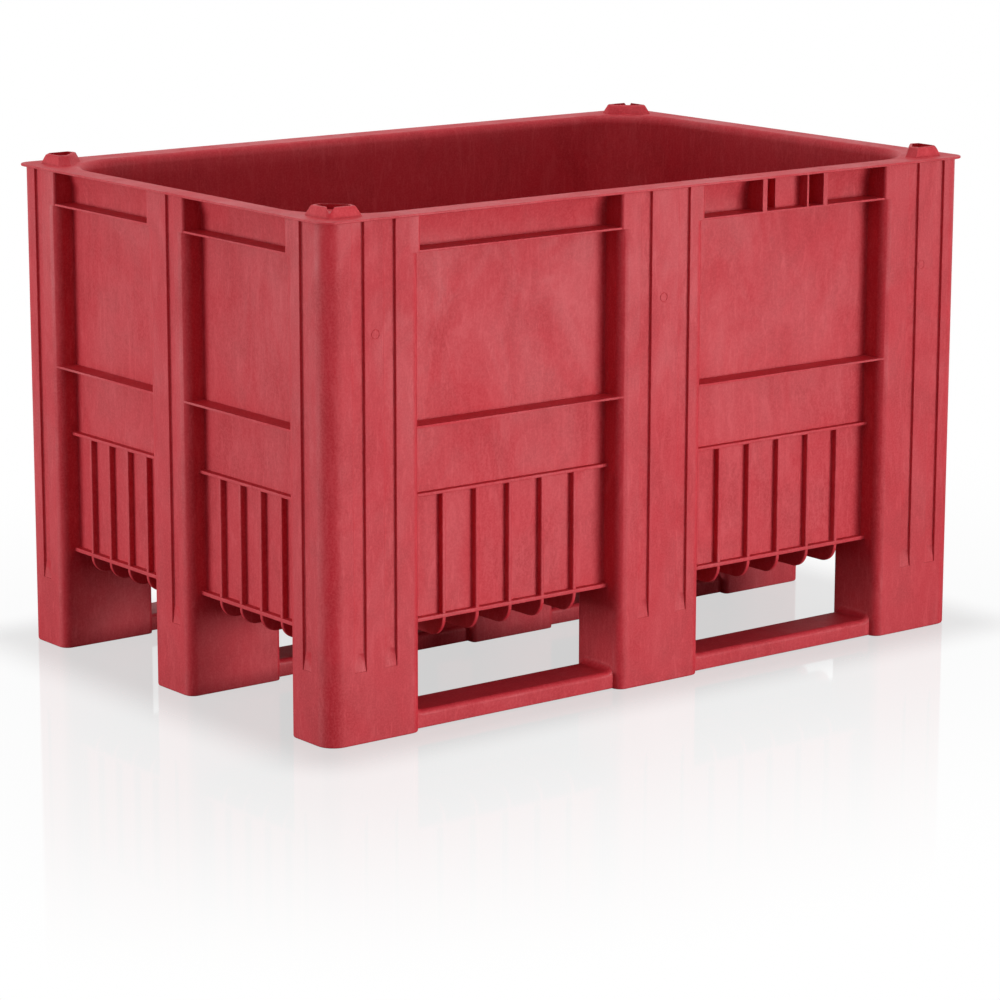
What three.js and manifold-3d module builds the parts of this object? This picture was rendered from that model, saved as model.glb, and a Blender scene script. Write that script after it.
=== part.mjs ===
// Plastic pallet box: an open tub on nine feet and three runners, moulded in one piece.
// Millimetres, +Z up. The long sides run along X and the short sides along Y. The origin
// is on the floor, under the middle of the box.

import * as THREE from 'three';
import { mergeVertices } from 'three/addons/utils/BufferGeometryUtils.js';
import Module from 'manifold-3d';

const wasm = await Module();
wasm.setup();

// Overall sizes, over the post faces and up to the top of the rim
const LENGTH = 1200;
const WIDTH = 800;
const RIM_HEIGHT = 740;

// Skins of the moulding
const WALL = 5;
const FLOOR_THICKNESS = 6;
const FOOT_PLATE = 6;
const POST_CAP = 6;

// Tub: how far the wall panels lie behind the post faces, and the floor
const LONG_RECESS = 38;
const SHORT_RECESS = 32;
const UNDERSIDE_HEIGHT = 152;
const TUB_CORNER_RADIUS = 110;
const LEAD_IN = 8;
const LEAD_IN_HEIGHT = 14;
const FLARE_BELOW_LEAD_IN = 16;

// Rim
const RIM_THICKNESS = 3.5;
const RIM_OVERHANG = 5;
const RIM_CORNER_RADIUS = 24;

// Posts, which run down into the feet
const CORNER_POST_LENGTH = 162;
const MIDDLE_POST_LENGTH = 158;
const RUNNER_WIDTH = 98;
const BOX_CORNER_RADIUS = 28;
const POST_EDGE_RADIUS = 16;
const POST_TOP_EDGE_RADIUS = 5;
const FOOT_EDGE_RADIUS = 8;
const HOLLOW_LEAST_RADIUS = 1;
const VENT_DIAMETER = 14;

// Runner bars between the feet
const BAR_LIFT = 1;
const BAR_HEIGHT = 27;
const BAR_SKIN = 4;
const BAR_SETBACK = 13;
const BAR_FILLET = 12;

// Shelf ribs, as deep as the recess
const TOP_SHELF_BELOW_RIM = 52;
const MIDDLE_SHELF_HEIGHT = 441;
const SHELF_THICKNESS = 3.5;
const SHELF_SETBACK = 2;

// Low ribs of the lower wall, which turn under the floor as fins
const BELT_HEIGHT = 338;
const BELT_THICKNESS = 5;
const BELT_PROUD = 10;
const RIB_PROUD = 9;
const RIB_THICKNESS = 6.5;
const RIB_MARGIN = 40;
const LONG_RIB_SPACING = 59.5;
const SHORT_RIB_SPACING = 51.5;
const CROSSWISE_FIN_DEPTH = 30;
const LENGTHWISE_FIN_DEPTH = 26;

// Channels down the post faces
const CHANNEL_WIDTH = 20;
const CHANNEL_DEPTH = 4.5;
const CHANNEL_FOOT_HEIGHT = 92;
const CHANNEL_RUN_OUT = 40;
const CORNER_PAIR_FROM_CORNER = 78;
const CORNER_PAIR_SPACING = 53;
const MIDDLE_PAIR_SPACING = 72;
const PAIR_SHIFT = 3.5;
const SHORT_CHANNEL_FROM_CORNER = 52;
const SHORT_CHANNEL_OFF_MIDDLE = 14;

// Stacking nubs on the rim corners
const NUB_HEIGHT = 15;
const NUB_INSET = 20;
const NUB_LEG = 60;
const NUB_TIP = 20;
const NUB_TIP_REACH = 5;
const NUB_CENTRE_SHARE = 0.4;
const NUB_TOP_SHARE = 0.72;
const NUB_POCKET_SHARE = 0.66;
const NUB_POCKET_DEPTH = 7;
const NUB_NOTCH_WIDTH = 13;
const NUB_NOTCH_FLOOR = 2;
const NUB_NOTCH_DEPTH = 8;

// Card holder in the top strip of each long side
const HOLDER_FROM_MIDDLE = 192;
const HOLDER_LENGTH = 130;
const HOLDER_SIDE_THICKNESS = 9;
const HOLDER_STOP_THICKNESS = 4;
const HOLDER_STOP_FROM_END = 42;
const HOLDER_PANE_DEPTH = 20;
const HOLDER_PANE_FROM_START = 40;

// Fineness of the round stretches, in steps for each curve
const EDGE_STEPS = 4;
const FIN_STEPS = 3;
const HIDDEN_STEPS = 2;
const TUB_CORNER_STEPS = 8;
const VENT_STEPS = 8;

// How far a cutting solid runs past the face it cuts
const OVERCUT = 1;

// Points this near to one another count as one
const MERGE_DISTANCE = 1e-4;

// Places worked out from the sizes above
const halfLength = LENGTH / 2;
const halfWidth = WIDTH / 2;
const floorHeight = UNDERSIDE_HEIGHT + FLOOR_THICKNESS;
const rimUnderside = RIM_HEIGHT - RIM_THICKNESS;
const insideRim = RIM_HEIGHT - RIM_THICKNESS / 2;
const insideFloor = UNDERSIDE_HEIGHT + FLOOR_THICKNESS / 2;
const insideBelt = BELT_HEIGHT - BELT_THICKNESS / 2;
const topShelfHeight = RIM_HEIGHT - TOP_SHELF_BELOW_RIM;
const panelHalfLength = halfLength - SHORT_RECESS;
const panelHalfWidth = halfWidth - LONG_RECESS;
const tubHalfLength = panelHalfLength - WALL;
const tubHalfWidth = panelHalfWidth - WALL;
const columnsAlongX = [
  [-halfLength, -halfLength + CORNER_POST_LENGTH],
  [-MIDDLE_POST_LENGTH / 2, MIDDLE_POST_LENGTH / 2],
  [halfLength - CORNER_POST_LENGTH, halfLength],
];
const columnsAlongY = [
  [-halfWidth, -halfWidth + RUNNER_WIDTH],
  [-RUNNER_WIDTH / 2, RUNNER_WIDTH / 2],
  [halfWidth - RUNNER_WIDTH, halfWidth],
];

// A closed geometry as a solid that can be joined and cut
function solidOf(geometry) {
  const bare = geometry.clone();
  bare.deleteAttribute('normal');
  bare.deleteAttribute('uv');
  const merged = mergeVertices(bare, MERGE_DISTANCE);
  return new wasm.Manifold(new wasm.Mesh({
    numProp: 3,
    vertProperties: Float32Array.from(merged.attributes.position.array),
    triVerts: Uint32Array.from(merged.index.array),
  }));
}

// A solid back as a geometry with flat faces
function geometryOf(solid) {
  const mesh = solid.getMesh();
  const geometry = new THREE.BufferGeometry();
  geometry.setAttribute('position', new THREE.BufferAttribute(mesh.vertProperties, 3));
  geometry.setIndex(new THREE.BufferAttribute(mesh.triVerts, 1));
  geometry.computeVertexNormals();
  return geometry;
}

function joined(solids) {
  return solids.reduce((whole, solid) => whole.add(solid));
}

// A rectangle whose corners are rounded by the radius that radiusAt gives for each
function roundedRectangle(x0, y0, x1, y1, radiusAt) {
  const turn = Math.PI / 2;
  const corners = [[x1, y0, -1, 1, -1], [x1, y1, -1, -1, 0], [x0, y1, 1, -1, 1], [x0, y0, 1, 1, 2]];
  const shape = new THREE.Shape();
  corners.forEach(([x, y, inX, inY, quarter]) => {
    const radius = radiusAt(x, y);
    shape.absarc(x + inX * radius, y + inY * radius, radius, quarter * turn, (quarter + 1) * turn);
  });
  shape.closePath();
  return shape;
}

function polygon(points) {
  return new THREE.Shape(points.map(([x, y]) => new THREE.Vector2(x, y)));
}

// An outline in X and Y, carried from one height to another
function upright(shape, z0, z1, steps = EDGE_STEPS) {
  const options = { depth: z1 - z0, bevelEnabled: false, curveSegments: steps };
  return new THREE.ExtrudeGeometry(shape, options).translate(0, 0, z0);
}

// The same, with the top outline scaled about a middle point
function tapered(shape, z0, z1, scaleX, scaleY, [middleX, middleY], steps = EDGE_STEPS) {
  const geometry = upright(shape, z0, z1, steps);
  const position = geometry.attributes.position;
  const halfway = (z0 + z1) / 2;
  for (let i = 0; i < position.count; i += 1) {
    if (position.getZ(i) > halfway) {
      position.setX(i, middleX + (position.getX(i) - middleX) * scaleX);
      position.setY(i, middleY + (position.getY(i) - middleY) * scaleY);
    }
  }
  return geometry;
}

// An outline in Y and Z, carried along X
function alongX(shape, x0, x1, steps) {
  const axes = [new THREE.Vector3(0, 1, 0), new THREE.Vector3(0, 0, 1), new THREE.Vector3(1, 0, 0)];
  const turned = new THREE.Matrix4().makeBasis(...axes);
  return upright(shape, x0, x1, steps).applyMatrix4(turned);
}

// An outline in X and Z, carried along Y
function alongY(shape, y0, y1, steps) {
  const axes = [new THREE.Vector3(1, 0, 0), new THREE.Vector3(0, 0, 1), new THREE.Vector3(0, -1, 0)];
  const turned = new THREE.Matrix4().makeBasis(...axes);
  return upright(shape, -y1, -y0, steps).applyMatrix4(turned);
}

function block(x0, y0, z0, x1, y1, z1) {
  const box = new THREE.BoxGeometry(x1 - x0, y1 - y0, z1 - z0);
  return solidOf(box.translate((x0 + x1) / 2, (y0 + y1) / 2, (z0 + z1) / 2));
}

// A block centred on the box, given by its half sizes in plan
function centredBlock(halfX, halfY, z0, z1) {
  return block(-halfX, -halfY, z0, halfX, halfY, z1);
}

// Rounding of a post corner: by its place on the box corner, on a face or inside
function postRadius(edgeRadius) {
  return (x, y) => {
    const onShortFace = Math.abs(x) === halfLength;
    const onLongFace = Math.abs(y) === halfWidth;
    if (onShortFace && onLongFace) {
      return BOX_CORNER_RADIUS;
    }
    return onShortFace || onLongFace ? edgeRadius : FOOT_EDGE_RADIUS;
  };
}

// Nine columns: eight rise to the rim as posts, and the middle one is a foot only
function columns() {
  const solids = [];
  columnsAlongX.forEach(([x0, x1], i) => {
    columnsAlongY.forEach(([y0, y1], j) => {
      const lower = roundedRectangle(x0, y0, x1, y1, postRadius(POST_EDGE_RADIUS));
      if (i === 1 && j === 1) {
        solids.push(solidOf(upright(lower, 0, insideFloor)));
        return;
      }
      const upper = roundedRectangle(x0, y0, x1, y1, postRadius(POST_TOP_EDGE_RADIUS));
      const change = topShelfHeight - SHELF_THICKNESS / 2;
      const overlap = SHELF_THICKNESS / 4;
      solids.push(solidOf(upright(lower, 0, change + overlap)));
      solids.push(solidOf(upright(upper, change - overlap, insideRim)));
    });
  });
  return joined(solids);
}

// Wall panels as one body, which widens under the rim to follow the lead-in
function panelBody() {
  const flare = RIM_HEIGHT - LEAD_IN_HEIGHT - FLARE_BELOW_LEAD_IN;
  const outline = polygon([
    [-panelHalfLength, -panelHalfWidth],
    [panelHalfLength, -panelHalfWidth],
    [panelHalfLength, panelHalfWidth],
    [-panelHalfLength, panelHalfWidth],
  ]);
  const scaleX = (panelHalfLength + LEAD_IN) / panelHalfLength;
  const scaleY = (panelHalfWidth + LEAD_IN) / panelHalfWidth;
  return joined([
    centredBlock(panelHalfLength, panelHalfWidth, insideFloor, rimUnderside),
    solidOf(tapered(outline, flare, insideRim, scaleX, scaleY, [0, 0])),
  ]);
}

// Ledge at the floor, thin belt above it and the two deep shelves
function levelRibs() {
  const beltHalfLength = panelHalfLength + BELT_PROUD;
  const beltHalfWidth = panelHalfWidth + BELT_PROUD;
  const intoPost = POST_EDGE_RADIUS + WALL;
  const alongLongSides = halfLength - CORNER_POST_LENGTH + intoPost;
  const alongShortSides = halfWidth - RUNNER_WIDTH + intoPost;
  const shelves = [topShelfHeight, MIDDLE_SHELF_HEIGHT].flatMap((top) => [
    centredBlock(alongLongSides, halfWidth - SHELF_SETBACK, top - SHELF_THICKNESS, top),
    centredBlock(halfLength - SHELF_SETBACK, alongShortSides, top - SHELF_THICKNESS, top),
  ]);
  return joined([
    centredBlock(beltHalfLength, beltHalfWidth, UNDERSIDE_HEIGHT, floorHeight),
    centredBlock(beltHalfLength, beltHalfWidth, BELT_HEIGHT - BELT_THICKNESS, BELT_HEIGHT),
    ...shelves,
  ]);
}

// Places of evenly spaced ribs about the middle of a panel
function ribPlaces(panelStart, panelEnd, spacing) {
  const gaps = Math.max(0, Math.floor((panelEnd - panelStart - 2 * RIB_MARGIN) / spacing));
  const first = (panelStart + panelEnd - gaps * spacing) / 2;
  return Array.from({ length: gaps + 1 }, (_, i) => first + i * spacing);
}

// One rib right round the tub: up both walls and across under the floor as a fin
function ribOutline(reach, finDepth) {
  const shape = new THREE.Shape();
  shape.moveTo(reach, insideBelt);
  shape.lineTo(-reach, insideBelt);
  shape.absarc(-reach + finDepth, UNDERSIDE_HEIGHT, finDepth, Math.PI, Math.PI * 1.5);
  shape.absarc(reach - finDepth, UNDERSIDE_HEIGHT, finDepth, Math.PI * 1.5, Math.PI * 2);
  shape.closePath();
  return shape;
}

function uprightRibs() {
  const half = RIB_THICKNESS / 2;
  const acrossWidth = ribOutline(panelHalfWidth + RIB_PROUD, CROSSWISE_FIN_DEPTH);
  const acrossLength = ribOutline(panelHalfLength + RIB_PROUD, LENGTHWISE_FIN_DEPTH);
  const solids = [];
  [[0, 1], [1, 2]].forEach(([before, after]) => {
    const xs = ribPlaces(columnsAlongX[before][1], columnsAlongX[after][0], LONG_RIB_SPACING);
    const ys = ribPlaces(columnsAlongY[before][1], columnsAlongY[after][0], SHORT_RIB_SPACING);
    xs.forEach((x) => solids.push(solidOf(alongX(acrossWidth, x - half, x + half, FIN_STEPS))));
    ys.forEach((y) => solids.push(solidOf(alongY(acrossLength, y - half, y + half, FIN_STEPS))));
  });
  return joined(solids);
}

// The solids that make gives for the gaps between neighbouring feet of each runner
function overBars(make) {
  const solids = [];
  columnsAlongY.forEach(([y0, y1]) => {
    [[0, 1], [1, 2]].forEach(([before, after]) => {
      const ends = [columnsAlongX[before][1], columnsAlongX[after][0]];
      solids.push(make(...ends, y0 + BAR_SETBACK, y1 - BAR_SETBACK));
    });
  });
  return joined(solids);
}

// A bar just clear of the floor between two feet, filleted where it meets them
function runnerBar(x0, x1, y0, y1) {
  const filletTop = BAR_HEIGHT + BAR_FILLET;
  const shape = new THREE.Shape();
  shape.moveTo(x0 - WALL, BAR_LIFT);
  shape.lineTo(x1 + WALL, BAR_LIFT);
  shape.lineTo(x1 + WALL, filletTop);
  shape.absarc(x1 - BAR_FILLET, filletTop, BAR_FILLET, 0, -Math.PI / 2, true);
  shape.absarc(x0 + BAR_FILLET, filletTop, BAR_FILLET, -Math.PI / 2, -Math.PI, true);
  shape.lineTo(x0 - WALL, filletTop);
  shape.closePath();
  return solidOf(alongY(shape, y0, y1));
}

// The hollow of a bar, which opens into the feet at both ends
function barHollow(x0, x1, y0, y1) {
  const reach = WALL + OVERCUT;
  const bottom = BAR_LIFT + BAR_SKIN;
  return block(x0 - reach, y0 + BAR_SKIN, bottom, x1 + reach, y1 - BAR_SKIN, BAR_HEIGHT - BAR_SKIN);
}

function rimPlate() {
  const x = halfLength + RIM_OVERHANG;
  const y = halfWidth + RIM_OVERHANG;
  const outline = roundedRectangle(-x, -y, x, y, () => RIM_CORNER_RADIUS);
  return solidOf(upright(outline, rimUnderside, RIM_HEIGHT));
}

// The inside of the tub grown outwards by a skin, from one height to the rim
function tubSpace(skin, bottom) {
  const x = tubHalfLength + skin;
  const y = tubHalfWidth + skin;
  const top = RIM_HEIGHT + OVERCUT;
  const leadStart = RIM_HEIGHT - LEAD_IN_HEIGHT;
  const leadGrowth = LEAD_IN * (top - leadStart) / LEAD_IN_HEIGHT;
  const outline = roundedRectangle(-x, -y, x, y, () => TUB_CORNER_RADIUS + skin);
  const lead = tapered(
    outline, leadStart, top, (x + leadGrowth) / x, (y + leadGrowth) / y, [0, 0], TUB_CORNER_STEPS,
  );
  return solidOf(upright(outline, bottom, leadStart + OVERCUT, TUB_CORNER_STEPS)).add(solidOf(lead));
}

// Channel outline, from the post face inwards and up
function channelOutline(face, inward, extra) {
  const outside = face - inward * OVERCUT;
  const bottomOfDepth = face + inward * (CHANNEL_DEPTH + extra);
  const foot = CHANNEL_FOOT_HEIGHT - extra;
  return polygon([
    [outside, foot],
    [bottomOfDepth, foot + CHANNEL_RUN_OUT],
    [bottomOfDepth, rimUnderside + extra],
    [outside, rimUnderside + extra],
  ]);
}

// All the channels, or with extra, the space that keeps a skin behind them
function channels(extra) {
  const half = CHANNEL_WIDTH / 2 + extra;
  const cornerPair = halfLength - CORNER_PAIR_FROM_CORNER;
  const longPlaces = [-cornerPair, 0, cornerPair].flatMap((middle) => {
    const spacing = middle === 0 ? MIDDLE_PAIR_SPACING : CORNER_PAIR_SPACING;
    return [middle - spacing / 2, middle + spacing / 2];
  });
  const corner = halfWidth - SHORT_CHANNEL_FROM_CORNER;
  const shortPlaces = [-corner, SHORT_CHANNEL_OFF_MIDDLE, corner];
  const solids = [];
  [-1, 1].forEach((side) => {
    const long = channelOutline(side * halfWidth, -side, extra);
    const short = channelOutline(side * halfLength, -side, extra);
    longPlaces.forEach((place) => {
      const x = place - side * PAIR_SHIFT;
      solids.push(solidOf(alongX(long, x - half, x + half)));
    });
    shortPlaces.forEach((place) => {
      const y = -side * place;
      solids.push(solidOf(alongY(short, y - half, y + half)));
    });
  });
  return joined(solids);
}

// Hollows inside the posts and feet, clear of the tub wall and of the channels
function columnHollows() {
  const solids = [];
  columnsAlongX.forEach(([x0, x1], i) => {
    columnsAlongY.forEach(([y0, y1], j) => {
      const outerRadius = postRadius(POST_EDGE_RADIUS);
      const outline = roundedRectangle(x0 + WALL, y0 + WALL, x1 - WALL, y1 - WALL, (x, y) => {
        const outX = x === x0 + WALL ? x0 : x1;
        const outY = y === y0 + WALL ? y0 : y1;
        return Math.max(outerRadius(outX, outY) - WALL, HOLLOW_LEAST_RADIUS);
      });
      const top = i === 1 && j === 1 ? UNDERSIDE_HEIGHT : RIM_HEIGHT - POST_CAP;
      solids.push(solidOf(upright(outline, FOOT_PLATE, top, HIDDEN_STEPS)));
    });
  });
  return joined(solids)
    .subtract(tubSpace(WALL, UNDERSIDE_HEIGHT))
    .subtract(channels(WALL));
}

// A small hole in the bottom of each foot, so that no hollow is sealed
function vents() {
  const radius = VENT_DIAMETER / 2;
  const solids = [];
  columnsAlongX.forEach(([x0, x1]) => {
    columnsAlongY.forEach(([y0, y1]) => {
      const hole = new THREE.CylinderGeometry(radius, radius, FOOT_PLATE + 2 * OVERCUT, VENT_STEPS);
      hole.rotateX(Math.PI / 2).translate((x0 + x1) / 2, (y0 + y1) / 2, FOOT_PLATE / 2);
      solids.push(solidOf(hole));
    });
  });
  return joined(solids);
}

// One stacking nub: a tapered three-sided block with a pocket and a notch at its outer corner
function nub(signX, signY) {
  const far = NUB_INSET + NUB_LEG;
  const centre = NUB_INSET + NUB_LEG * NUB_CENTRE_SHARE;
  const place = ([u, v]) => [signX * (halfLength - u), signY * (halfWidth - v)];
  const outline = polygon([
    [NUB_INSET, NUB_INSET],
    [far, NUB_INSET],
    [far + NUB_TIP_REACH, NUB_INSET + NUB_TIP],
    [NUB_INSET + NUB_TIP, far + NUB_TIP_REACH],
    [NUB_INSET, far],
  ].map(place));
  const middle = place([centre, centre]);
  const top = RIM_HEIGHT + NUB_HEIGHT;
  const body = tapered(outline, rimUnderside, top, NUB_TOP_SHARE, NUB_TOP_SHARE, middle);
  const pocketShare = NUB_TOP_SHARE * NUB_POCKET_SHARE;
  const pocket = upright(outline, top - NUB_POCKET_DEPTH, top + OVERCUT)
    .translate(-middle[0], -middle[1], 0)
    .scale(pocketShare, pocketShare, 1)
    .translate(middle[0], middle[1], 0);
  const notchOutline = polygon([
    [-NUB_NOTCH_WIDTH / 2, top + OVERCUT],
    [-NUB_NOTCH_FLOOR / 2, top - NUB_NOTCH_DEPTH],
    [NUB_NOTCH_FLOOR / 2, top - NUB_NOTCH_DEPTH],
    [NUB_NOTCH_WIDTH / 2, top + OVERCUT],
  ]);
  const outward = Math.atan2(signY, signX) + Math.PI / 2;
  const notch = alongY(notchOutline, 0, NUB_LEG).rotateZ(outward).translate(...middle, 0);
  return solidOf(body).subtract(solidOf(pocket)).subtract(solidOf(notch));
}

// Card holder of one long side: two deep cheeks, a thin stop and a raised pane between them.
// The other long side has the same one, turned half round.
function cardHolder(turned) {
  const bottom = topShelfHeight - SHELF_THICKNESS;
  const front = -halfWidth + SHELF_SETBACK;
  const back = -panelHalfWidth + WALL / 2;
  const start = HOLDER_FROM_MIDDLE;
  const end = start + HOLDER_LENGTH;
  const stop = end - HOLDER_STOP_FROM_END;
  const paneFront = -halfWidth + HOLDER_PANE_DEPTH;
  const plate = (x0, x1, y) => (turned
    ? block(-x1, -back, bottom, -x0, -y, rimUnderside)
    : block(x0, y, bottom, x1, back, rimUnderside));
  return joined([
    plate(start, start + HOLDER_SIDE_THICKNESS, front),
    plate(end - HOLDER_SIDE_THICKNESS, end, front),
    plate(stop, stop + HOLDER_STOP_THICKNESS, front),
    plate(start + HOLDER_PANE_FROM_START, stop + OVERCUT, paneFront),
  ]);
}

function palletBox() {
  const nubs = [[-1, -1], [1, -1], [1, 1], [-1, 1]].map(([x, y]) => nub(x, y));
  const outside = [
    columns(),
    panelBody(),
    levelRibs(),
    uprightRibs(),
    overBars(runnerBar),
    rimPlate(),
    cardHolder(false),
    cardHolder(true),
  ];
  return joined(outside)
    .subtract(tubSpace(0, floorHeight))
    .subtract(columnHollows())
    .subtract(overBars(barHollow))
    .subtract(channels(0))
    .subtract(vents())
    .add(joined(nubs));
}

// Red polyethylene with a dull sheen
const plastic = new THREE.MeshStandardMaterial({ color: 0xb9283a, roughness: 0.48, metalness: 0 });

const box = new THREE.Mesh(geometryOf(palletBox()), plastic);
box.name = 'pallet_box';

const group = new THREE.Group();
group.add(box);

export default group;
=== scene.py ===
"""Red plastic pallet box, moulded in one piece, on a pale studio floor. Metres, +Z up."""

import math
from typing import NamedTuple

import bpy
from bpy.props import FloatProperty, FloatVectorProperty, IntProperty, PointerProperty
from mathutils import Matrix, Vector


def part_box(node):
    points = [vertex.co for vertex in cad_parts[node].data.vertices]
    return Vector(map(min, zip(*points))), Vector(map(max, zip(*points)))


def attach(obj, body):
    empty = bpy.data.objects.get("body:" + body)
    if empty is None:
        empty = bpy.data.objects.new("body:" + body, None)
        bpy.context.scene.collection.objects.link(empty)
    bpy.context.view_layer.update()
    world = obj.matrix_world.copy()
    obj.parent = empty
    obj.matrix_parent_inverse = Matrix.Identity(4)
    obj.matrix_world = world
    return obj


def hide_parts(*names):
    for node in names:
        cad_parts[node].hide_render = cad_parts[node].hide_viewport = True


bl_info = {
    "name": "Pallet Box",
    "version": (1, 0, 0),
    "blender": (4, 5, 0),
    "location": "View3D > Sidebar > Pallet Box",
    "description": "Models a one-piece plastic pallet box with its studio",
    "category": "Add Mesh",
}

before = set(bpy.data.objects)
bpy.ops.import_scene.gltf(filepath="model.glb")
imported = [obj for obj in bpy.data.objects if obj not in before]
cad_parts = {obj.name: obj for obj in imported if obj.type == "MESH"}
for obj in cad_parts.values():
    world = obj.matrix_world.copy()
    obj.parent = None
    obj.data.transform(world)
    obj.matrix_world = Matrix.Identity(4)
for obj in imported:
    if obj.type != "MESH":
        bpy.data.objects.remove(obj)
NODE = "pallet_box"
NODE_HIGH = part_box(NODE)[1]

MILLIMETRE = 0.001
QUARTER = math.pi / 2
# Two places this close count as one when edges are picked, and when points are merged.
NEAR = 2e-5
SAME_POINT = 2e-6
# How far a cut reaches past the surface that it cuts.
OVERCUT = 0.001
# The least part of a face's normal that points the way it looks.
FACING = 0.9
# Faces within the first angle are merged, and edges below the second are shaded smooth.
FLAT_WITHIN = math.radians(0.05)
SMOOTH_BELOW = math.radians(50)
SMALL_STEPS, EDGE_STEPS, FILLET_STEPS = 2, 3, 4
VENT_SIDES = 24
RING_STEPS = (32, 8)
DENT_STEPS = (16, 8)
SENSOR_WIDTH = 36.0
FAR_CLIP = 200.0


def length(title, about, millimetres):
    """A length of the box, given in millimetres."""
    return FloatProperty(
        name=title, description=about, default=millimetres * MILLIMETRE, min=0.0,
        unit="LENGTH", subtype="DISTANCE", precision=4,
    )


def colour(title, about, value):
    """A colour in scene-linear red, green and blue."""
    return FloatVectorProperty(
        name=title, description=about, default=value, subtype="COLOR", min=0.0, max=1.0
    )


def share(title, about, value, most=1.0):
    """A plain number between nothing and the most it may be."""
    return FloatProperty(
        name=title, description=about, default=value, min=0.0, max=most, subtype="FACTOR"
    )


def setting(kind, title, about, value):
    """A distance in metres, an angle in radians or a lamp's power in watts."""
    return FloatProperty(name=title, description=about, default=value, subtype=kind)


def metres(title, about, value):
    return setting("DISTANCE", title, about, value)


def degrees(title, about, value):
    return setting("ANGLE", title, about, math.radians(value))


def watts(title, about, value):
    return setting("POWER", title, about, value)


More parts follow.
